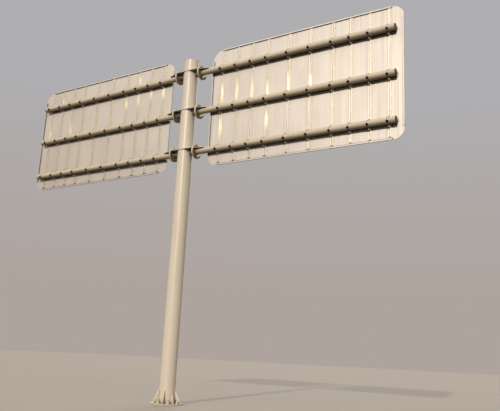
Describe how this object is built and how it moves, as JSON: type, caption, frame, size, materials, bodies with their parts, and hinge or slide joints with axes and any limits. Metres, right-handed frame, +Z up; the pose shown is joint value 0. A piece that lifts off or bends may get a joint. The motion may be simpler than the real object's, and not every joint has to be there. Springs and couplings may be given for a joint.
{
  "type": "twin-cantilever road sign gantry",
  "caption": "Round steel post with flanged tube arms reaching out on both sides, which carry flat round-cornered road sign panels clamped on by channel battens.",
  "frame": {"origin": "centre of the underside of the base flange, on the foundation", "axes": "+X along the right arms, +Y from the arms towards the sign faces, +Z up the post"},
  "size_m": [11.47, 0.75, 8.887],
  "materials": {
    "post_paint": "semi-gloss cream-white paint",
    "arm_paint": "semi-gloss cream-white paint, dusty",
    "sheet_aluminium": "satin rolled sheet with fine streaks",
    "channel_aluminium": "satin extruded channel",
    "zinc_strap": "dull zinc coating"
  },
  "bodies": {
    "root": {"post": "post_paint", "base_plate": "post_paint", "base_ribs": "post_paint", "stub_tubes": "post_paint", "stub_flanges": "post_paint", "wing_plates": "post_paint", "arm_flanges": "arm_paint", "arm_ribs": "arm_paint", "panel_left": "sheet_aluminium", "battens_left": "channel_aluminium", "arm_left_bottom": "arm_paint", "clamps_left_bottom": "zinc_strap", "arm_left_middle": "arm_paint", "clamps_left_middle": "zinc_strap", "arm_left_top": "arm_paint", "clamps_left_top": "zinc_strap", "panel_right": "sheet_aluminium", "battens_right": "channel_aluminium", "arm_right_bottom": "arm_paint", "clamps_right_bottom": "zinc_strap", "arm_right_middle": "arm_paint", "clamps_right_middle": "zinc_strap", "arm_right_top": "arm_paint", "clamps_right_top": "zinc_strap"}
  },
  "joints": []
}
